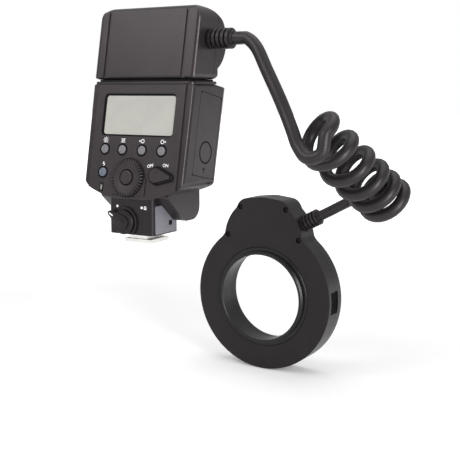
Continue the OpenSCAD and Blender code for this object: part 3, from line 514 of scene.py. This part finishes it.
def smooth_line(points):
    """Smooth curve through all but the first and the last point."""
    p = [Vector(q) for q in points]
    line = []
    for i in range(1, len(p) - 2):
        for k in range(LINE_STEPS):
            t = k / LINE_STEPS
            line.append(0.5 * (2 * p[i] + (p[i + 1] - p[i - 1]) * t
                               + (2 * p[i - 1] - 5 * p[i] + 4 * p[i + 1] - p[i + 2]) * t * t
                               + (3 * p[i] - p[i - 1] - 3 * p[i + 1] + p[i + 2]) * t * t * t))
    return line


head_straight = HEAD_EXIT + Vector((CORD_D, 0, 0))
ring_straight = RING_EXIT + CORD_D * FLANK_WAY
lead_line = [HEAD_EXIT, (HEAD_EXIT + head_straight) / 2, *smooth_line(
    [HEAD_EXIT, head_straight, *LEAD, curl_point(CURL_FIRST), curl_point(CURL_FIRST + CURL_EASE)]),
    curl_point(CURL_FIRST), curl_point(CURL_FIRST + CURL_OVERLAP)]
curl_line = [curl_point(CURL_FIRST + (CURL_TURNS - CURL_FIRST) * i / CURL_STEPS) for i in range(CURL_STEPS)]
tail_line = [*smooth_line(
    [curl_point(CURL_TURNS - CURL_EASE), curl_point(CURL_TURNS), *TAIL, ring_straight, RING_EXIT]),
    ring_straight, (ring_straight + RING_EXIT) / 2, RING_EXIT]


def tube(name, line, radius, resolution):
    """Round tube along a line of points in millimetres."""
    curve = bpy.data.curves.new(name, "CURVE")
    curve.dimensions = "3D"
    curve.bevel_depth = radius * MM
    curve.bevel_resolution = resolution
    curve.use_fill_caps = True
    spline = curve.splines.new("POLY")
    spline.points.add(len(line) - 1)
    for point, place in zip(spline.points, line):
        point.co = (*(place * MM), 1)
    piece = bpy.data.objects.new(name, curve)
    bpy.context.scene.collection.objects.link(piece)
    select_only(piece)
    bpy.ops.object.convert(target="MESH")
    piece = bpy.context.object
    piece.name = name
    piece.data.name = name
    return tidy_mesh(piece, 60)


def cord_piece(name, line, nodes):
    """Round cord along a line of points, tied to the fixed unit."""
    piece = tube(name, line, CORD_D / 2, 6)
    piece.data.materials.clear()
    piece.data.materials.append(finish_of("cord_rubber"))
    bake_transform(piece)
    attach(piece, "control_unit")
    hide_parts(*nodes)


cord_piece("cord_upper", lead_line, ("cord_lead",))
cord_piece("cord_lower", curl_line + tail_line,
           ("cord_coil", "cord_tail"))

# Shells, base and foot: the solids with rounded edges

FINE_EDGE = 0.25
# Widths of the rounded edges that are painted black as painted shade of the seams
SEAM_SHADE_WIDTH = 0.35
DOOR_SEAM_SHADE_WIDTH = 0.55
for node in ("rear_housing", "control_panel", "base_cover", "foot_block", "head_rear_shell"):
    dressed(node)
for node in ("front_housing", "head_front_shell"):
    dressed(node, SEAM_SHADE_WIDTH, seam_shade=True)
dressed("battery_door", DOOR_SEAM_SHADE_WIDTH, seam_shade=True)
dressed("ring_rear_cover").data.materials[0] = ring_black
dressed("ring_front_housing", SEAM_SHADE_WIDTH, seam_shade=True).data.materials[0] = ring_black
for node in ("shoe_plate", "neck_collar", "head_gland", "ring_gland", "diffuser_right", "diffuser_left",
             "assist_window"):
    dressed(node, FINE_EDGE)
for node in ("latch_right", "latch_left"):
    dressed(node, FINE_EDGE).data.materials[0] = black_and_shade

# Raised rim on the body's top, and a black plate between it and the swivel head, painted shade of the gap

RIM_SPAN = (90.4, 92.1)
GAP_SHADE_SPAN = (92, 93.12)
keep(plate(70, 27.2, 4, *RIM_SPAN, 0.7, (0, 10.7)), "neck_rim", "control_unit",
     finish_of("shell_plastic"))
keep(plate(66, 27, 5, *GAP_SHADE_SPAN, 0.3, (0, 11)), "neck_gap_shade", "control_unit", black_and_shade)

# Places of the controls on the panel, across and up

DISPLAY_AT = (0, 44.1)
ROW_UP = 24
ROW = {"button_lamp": -21.2, "button_mode": -8.6, "button_a": 5.2, "button_b": 18.8}
PILOT_AT = (-21, 10.5)
INDICATOR_AT = (-21, 1.8)
DIAL_AT = (-2.2, 8)
SWITCH_AT = (17.6, 10)


# Display and indicator: pale fields in black frames, the frames partly painted shade of their recesses

def framed_window(piece, border, move):
    """Paints a plate black and its upper face, inside a border, as a pale field that is moved a little; the
    black border is the window's frame and painted shade of its recess.
    """
    two_finishes(piece, black_and_shade, finish_of("display_glass"))
    pick(piece, lambda c, n: n.z > 0.9, "FACE")
    bpy.ops.mesh.inset(thickness=border * MM)
    bpy.ops.transform.translate(value=[d * MM for d in move])
    paint(piece, 1)
    return piece


# The field moves right and sinks, so the black border is wider on its left: painted shade of the recess
display = framed_window(plate(50.4, 24.4, 2.6, -1.7, -0.5), 1.0, (0.45, -0.1, -0.15))
keep(display, "display_window", "control_unit", None, on_panel(*DISPLAY_AT), ("lcd_window",))
indicator = framed_window(plate(2.7, 5.0, 1.3, -1.2, 0.05, 0.04), 0.75, (0, 0, -0.1))
keep(indicator, "indicator_window", "control_unit", None, on_panel(*INDICATOR_AT),
     ("sensor_window",))

# Buttons: turned caps with a ring pressed into each

CAP = [(2.42, -1.8), (2.5, 0.3), (2.36, 0.56), (2.1, 0.68), (1.55, 0.7), (1.42, 0.52), (1.12, 0.52),
       (1.0, 0.66), (0.5, 0.68)]
buttons = [(node, (across, ROW_UP), "cap_grey") for node, across in ROW.items()]
buttons.append(("pilot_button", PILOT_AT, "pilot_cap"))
for node, at, slot in buttons:
    keep(turned(CAP, 40), node + "_cap", node, finish_of(slot), on_panel(*at), (node,))

# Black rings round the buttons and under the switch: painted shade of the gaps round them

GAP_SHADE_RING = [(2.55, -0.3), (3.6, -0.3), (3.6, 0.1), (3.45, 0.22), (2.7, 0.22), (2.55, 0.1)]
SWITCH_TIP = (9, -0.6)
gap_shades = [moved(turned_ring(GAP_SHADE_RING, 40), shift(*at, 0)) for node, at, slot in buttons]
gap_shades.append(moved(teardrop(5.4, 2.4, SWITCH_TIP, -0.3, 0.24, 0.12), shift(*SWITCH_AT, 0)))
keep(joined(gap_shades), "control_gap_shades", "control_unit", black_and_shade, on_panel(0, 0))

# Dial with a knurled rim, and the button in its middle

DIAL = [(10.6, -0.4), (11, -0.2), (11, 0.9), (11, 1.7), (10.5, 2.2), (9.2, 2.4), (8.9, 2.3), (8.6, 2.15),
        (5.2, 2.15), (4.8, 2.05), (4.4, 1.4)]
SET_CAP = [(3.9, 0.2), (4.02, 1.2), (4.02, 2.3), (3.85, 2.6), (3.4, 2.72), (2.4, 2.66), (1.2, 2.62)]
TEETH = 36
TOOTH_SIDES = 4
HUB_R = 4.75
KNURL_R = 8.7
KNURL_FACE_R = 8.4


def tooth_place(p):
    """Place of a point round the dial, counted in sides; each tooth has TOOTH_SIDES of them."""
    return math.atan2(p.y, p.x) / (2 * math.pi) * TEETH * TOOTH_SIDES


def in_notch(p):
    """Tells if a vertex is at the bottom of a notch."""
    if math.hypot(p.x, p.y) < KNURL_R or p.z < -0.1:
        return False
    return round(tooth_place(p)) % TOOTH_SIDES in (1, 2)


def in_painted_shade(c, n):
    """Tells if a face is in a notch or in the gap round the button; these faces are painted black as
    painted shade.
    """
    r = math.hypot(c.x, c.y)
    return r < HUB_R or (r > KNURL_FACE_R and 0.9 < tooth_place(c) % TOOTH_SIDES < 2.1)


dial = turned(DIAL, TEETH * TOOTH_SIDES)
pick(dial, in_notch)
resize(0.92, 0.92)
bpy.ops.transform.translate(value=(0, 0, -0.2 * MM))
close_edit()
# Notches and the gap round the button painted black: painted shade
two_finishes(dial, finish_of("panel_plastic"), black_and_shade)
pick(dial, in_painted_shade, "FACE")
paint(dial, 1)
tidy_mesh(dial, 30)
keep(dial, "dial_knob", "dial", None, on_panel(*DIAL_AT), ("dial",))
keep(turned(SET_CAP, 48), "set_button_cap", "set_button", finish_of("panel_plastic"),
     on_panel(*DIAL_AT), ("set_button",))

# Power switch: a teardrop with grip ridges, its top edge painted black as painted shade of the gap round it

ridges = [plate(0.5, 3.0, 0.22, 2.2, 2.62, 0.12, (x, 2.4), 3) for x in (-1.2, -0.2, 0.8, 1.8)]
grip = teardrop(4.8, 1.8, SWITCH_TIP, 0.3, 2.4, 0.45)
# Top edge painted black, the top face inside it plastic again: painted shade outlining the switch
two_finishes(grip, finish_of("panel_plastic"), black_and_shade)
pick(grip, lambda c, n: c.z > 1.9, "FACE")
paint(grip, 1)
pick(grip, lambda c, n: n.z > 0.99, "FACE")
bpy.ops.mesh.inset(thickness=0.3 * MM)
paint(grip, 0)
stem = turned([(2.2, -2.0), (2.2, 0.5)], 32)
for extra in (stem, *ridges):
    extra.data.materials.append(finish_of("panel_plastic"))
switch = joined([grip, stem, *ridges])
keep(switch, "power_switch_knob", "power_switch", None, on_panel(*SWITCH_AT), ("power_switch",))

# Lock lever: a disc with a blade that points at a mark

LEVER = shift(-4, -15.8, 12.5) @ FACE_BACK
BLADE_ANGLE = 150
lever = joined([turned([(6.7, 0), (7, 0.3), (7, 1.6), (6.6, 2.0), (6.0, 2.1)], 56),
                teardrop(4, 1.4, polar(9.9, BLADE_ANGLE), 1.9, 3.2, 0.3),
                turned([(2.6, 3.0), (2.6, 3.3), (2.3, 3.4)], 32)])
keep(lever, "lock_lever_knob", "lock_lever", finish_of("soft_black"), LEVER, ("lock_lever",))
mark = moved(plate(0.7, 3.0, 0.15, 3.15, 3.24),
             shift(*polar(8.6, BLADE_ANGLE), 0) @ turn(BLADE_ANGLE - 90, "Z"))
keep(mark, "lock_lever_mark", "lock_lever", white_print, LEVER)

# Printed marks on the panel: plain signs, and OFF and ON at the switch

INK = 0.03
INK_FOOT = -0.01
SIGN_UP = 29.2
BOLT_UP = 15.4
WORD_SIZE = 2.5


def dash(x, y, width, height, angle=0.0):
    """Printed bar."""
    return moved(plate(width, height, 0, INK_FOOT, INK), shift(x, y, 0) @ turn(angle, "Z"))


def dot(x, y, r):
    """Printed dot."""
    return moved(turned([(r, INK_FOOT), (r, INK)], 20), shift(x, y, 0))


def word(text, x, y, angle=0.0):
    """Printed word."""
    bpy.ops.object.select_all(action="DESELECT")
    bpy.ops.object.text_add()
    piece = bpy.context.object
    piece.data.body = text
    piece.data.size = WORD_SIZE * MM
    piece.data.align_x = "CENTER"
    piece.data.extrude = INK * MM
    piece.data.offset = 0.03 * MM
    bpy.ops.object.convert(target="MESH")
    return moved(bpy.context.object, shift(x, y, 0) @ turn(angle, "Z"))


def ring_sign(x, y, r, width):
    """Printed ring."""
    ring = turned_ring([(r, INK_FOOT), (r + width, INK_FOOT), (r + width, INK), (r, INK)], 32)
    return moved(ring, shift(x, y, 0))


def lamp_sign(x, y):
    """Ring with rays."""
    sign = [ring_sign(x, y, 0.55, 0.34)]
    for angle in range(0, 360, 45):
        across, up = polar(1.55, angle)
        sign.append(dash(x + across, y + up, 0.75, 0.32, angle))
    return sign


def mode_sign(x, y):
    """Three bars."""
    return [dash(x, y + d, w, 0.36) for d, w in ((0.85, 2.8), (0, 2.0), (-0.85, 2.8))]


def side_sign(x, y, side):
    """Ring with a plus on one side."""
    plus = x + side * 1.9
    return [ring_sign(x, y, 0.85, 0.36), dash(plus, y, 1.0, 0.4), dash(plus, y, 0.4, 1.0)]


def bolt_sign(x, y):
    """Bolt of three bars."""
    return [dash(x - 0.35, y + 0.55, 0.42, 1.6, -24), dash(x, y, 1.3, 0.42),
            dash(x + 0.35, y - 0.55, 0.42, 1.6, -24)]


signs = [*lamp_sign(ROW["button_lamp"], SIGN_UP), *mode_sign(ROW["button_mode"], SIGN_UP),
         *side_sign(ROW["button_a"], SIGN_UP, -1), *side_sign(ROW["button_b"], SIGN_UP, 1),
         *bolt_sign(PILOT_AT[0], BOLT_UP), word("OFF", 12.4, 14.6, 10), word("ON", 22.6, 15.2)]
keep(joined(signs), "panel_marks", "control_unit", white_print, on_panel(0, 0))

# Marks on the foot: two dots and a padlock

FOOT_BACK = shift(0, -FOOT_HALF, 0) @ FACE_BACK
DOT_UP = 21.4
DOT_R = 0.75
padlock = [dash(10.4, 21.0, 1.7, 1.2), ring_sign(10.4, 21.7, 0.45, 0.3)]
foot_marks = joined([dot(-9.3, DOT_UP, DOT_R), dot(8, DOT_UP, DOT_R), *padlock])
keep(foot_marks, "foot_marks", "control_unit", white_print, FOOT_BACK)

# Grey side of the foot, with its small socket, whose opening is a black plate: painted shade of the hole

for side, name in ((1, "right"), (-1, "left")):
    place = shift(side * FOOT_HALF, 0, 0) @ turn(0 if side > 0 else 180, "Z") @ FACE_RIGHT
    cover = joined([plate(20.4, 16.2, 0.8, -0.02, 0.22, 0.1, (-2.75 * side, 14.2)),
                    plate(2.4, 2.8, 0.3, 0.2, 0.36, 0.08, (-1.6 * side, 11.6)),
                    plate(4.0, 3.5, 0.3, 0.2, 0.36, 0.08, (-1 * side, 7.9)),
                    plate(2.2, 3.5, 0.3, 0.2, 0.36, 0.08, (2.4 * side, 7.9))])
    keep(cover, "foot_side_" + name, "control_unit", side_grey, place)
    socket = plate(3.2, 2.8, 0.2, 0.1, 0.3, 0, (1.6 * side, 11.6))
    keep(socket, "foot_socket_" + name, "control_unit", black_and_shade, place)

# Battery door: a finger rest and an arrow

DOOR = SIDE @ shift(HALF_WIDTH, 0, 0) @ FACE_RIGHT
DOOR_MIDDLE = 20
finger_rest = moved(turned_ring([(5.6, -0.3), (6.5, -0.3), (6.5, 0.06), (5.6, 0.06)], 56),
                    shift(DOOR_MIDDLE, 27, 0))
arrow = [dash(DOOR_MIDDLE, 16.6, 0.5, 3.0), dash(DOOR_MIDDLE - 0.6, 17.6, 0.5, 1.7, -40),
         dash(DOOR_MIDDLE + 0.6, 17.6, 0.5, 1.7, 40)]
keep(joined([finger_rest, *arrow]), "door_finger_rest", "battery_door", black_and_shade, DOOR)

# Screws of the ring: domed heads, each with a black cross that is painted shade of its slot

SCREW = [(1.6, 0.0), (2.05, 0.15), (2.05, 0.6), (1.7, 1.0), (1.0, 1.15)]
SCREW_PLACES = ((18.6, 65.2), (-18.6, 65.2), (29, 44), (-29, 44))
for number, (across, up) in enumerate(SCREW_PLACES):
    place = RING @ shift(across, 1.9, up) @ FACE_BACK
    keep(turned(SCREW, 32), f"ring_screw_{number}", "ring_head", finish_of("screw_steel"),
         place, ("ring_screws",))
    cross = joined([moved(plate(2.3, 0.5, 0.1, 0.9, 1.18), turn(a, "Z")) for a in (25, 115)])
    keep(cross, f"ring_screw_cross_shade_{number}", "ring_head", black_and_shade, place)

# Release buttons of the ring: upright ribs

RIB_PLACES = (4.8, 6.4, 8.0, 9.6, 11.2, 12.6)
LATCH_OUT = 53
for facing, body in ((0, "latch_right"), (180, "latch_left")):
    ribs = joined([plate(0.8, 13.4, 0.3, -0.05, 0.3, 0.2, (y, 0)) for y in RIB_PLACES])
    place = RING @ turn(facing, "Y") @ shift(LATCH_OUT, 0, 0) @ FACE_RIGHT
    keep(ribs, body + "_ribs", body, black_and_shade, place)

# Return springs of the latches: coils of wire in the places of their solids

SPRING_TURNS = 4
SPRING_STEPS = 20
WIRE_R = 0.22
for side, joint in (("right", "latch_right_press"), ("left", "latch_left_press")):
    node = "latch_spring_" + side
    low, high = (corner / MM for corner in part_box(node))
    middle = (low + high) / 2
    coil_r = (high.z - low.z) / 2 - WIRE_R
    count = SPRING_TURNS * SPRING_STEPS
    wire = []
    for i in range(count + 1):
        across, up = polar(coil_r, 360 * i / SPRING_STEPS)
        along = low.x + WIRE_R + (high.x - low.x - 2 * WIRE_R) * i / count
        wire.append(Vector((along, middle.y + across, middle.z + up)))
    spring = tube(node + "_wire", wire, WIRE_R, 2)
    spring.data.materials.clear()
    keep(spring, node + "_wire", node_body[node], finish_of("steel"), None, (node,))
    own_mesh(spring)

# Lens adapter: a turned ring with a fine thread

THREAD_R = 33.5
THREAD_DEPTH = 0.4
THREAD_STEP = 0.35
THREAD_LOW = -4
thread = [(THREAD_R - THREAD_DEPTH * (i % 2), THREAD_LOW + THREAD_STEP * i) for i in range(1, 10)]
ADAPTER = [(31.5, 7.7), (31.8, 8), (36.2, 8), (36.5, 7.7), (36.5, 7.4), (34.6, 7.2), (34.6, 3.8),
           (36.5, 3.6), (36.5, -0.2), (36.2, -0.5), (33.4, -0.5), *reversed(thread), (33.2, -4),
           (31.8, -4), (31.5, -3.7)]
keep(turned_ring(ADAPTER), "lens_adapter_ring", "control_unit", finish_of("adapter_metal"),
     RING @ turn(-90, "X"), ("lens_adapter",))

# Studio: a pale floor that fades into a white surround, and soft lamps; in metres

FLOOR_Z = -0.1165
bpy.ops.object.select_all(action="DESELECT")
bpy.ops.mesh.primitive_plane_add(size=12, location=(0, 0, FLOOR_Z))
floor = bpy.context.object
floor.name = "floor"
paper = Finish("paper")
paper.colour(paper.noise(3, 3), (0.93, 0.93, 0.93), (0.95, 0.95, 0.95))
paper.roughness(paper.noise(40, 2), 0.7, 0.8)
fade = paper.nodes.new("ShaderNodeTexGradient")
fade.gradient_type = "SPHERICAL"
spread = paper.nodes.new("ShaderNodeMapping")
spread.inputs["Scale"].default_value = (0.8, 0.8, 0.8)
paper.links.new(paper.place, spread.inputs["Vector"])
paper.links.new(spread.outputs["Vector"], fade.inputs["Vector"])
glow = paper.nodes.new("ShaderNodeMapRange")
glow.inputs["From Min"].default_value = 0.68
glow.inputs["From Max"].default_value = 0.0
glow.inputs["To Min"].default_value = 0.14
paper.links.new(fade.outputs["Fac"], glow.inputs["Value"])
paper.links.new(glow.outputs["Result"], paper.shader.inputs["Emission Strength"])
paper.set(Emission_Color=(1, 1, 1, 1))
floor.data.materials.append(paper.material)

world = bpy.context.scene.world or bpy.data.worlds.new("world")
bpy.context.scene.world = world
world.use_nodes = True
tree = world.node_tree
sky = tree.nodes["Background"]
sky.inputs["Color"].default_value = (1, 1, 1, 1)
path = tree.nodes.new("ShaderNodeLightPath")
strength = tree.nodes.new("ShaderNodeMix")
strength.data_type = "FLOAT"
strength.inputs["A"].default_value = 0.4
strength.inputs["B"].default_value = 1.0
seen = tree.nodes.new("ShaderNodeMath")
seen.operation = "MULTIPLY_ADD"
tree.links.new(path.outputs["Is Glossy Ray"], seen.inputs[0])
seen.inputs[1].default_value = 0.25
tree.links.new(path.outputs["Is Camera Ray"], seen.inputs[2])
tree.links.new(seen.outputs["Value"], strength.inputs["Factor"])
tree.links.new(strength.outputs["Result"], sky.inputs["Strength"])


def lamp(name, place, aim, size, power):
    """Rectangular lamp that is turned to a point."""
    data = bpy.data.lights.new(name, "AREA")
    data.shape = "RECTANGLE"
    data.size, data.size_y = size
    data.energy = power
    light = bpy.data.objects.new(name, data)
    light.location = place
    light.rotation_mode = "QUATERNION"
    light.rotation_quaternion = (Vector(aim) - Vector(place)).to_track_quat("-Z", "Y")
    bpy.context.scene.collection.objects.link(light)


lamp("key", (-0.5, -0.9, 0.9), (0.03, 0.03, 0.05), (0.8, 0.8), 8)
lamp("fill", (1.1, -0.62, 0.15), (0.03, 0.0, 0.06), (0.34, 1.2), 20)
lamp("top", (0.1, 0.3, 1.2), (0.05, 0.06, 0), (1.2, 1.2), 6)

bpy.context.scene.view_settings.view_transform = "Standard"

bpy.context.view_layer.update()
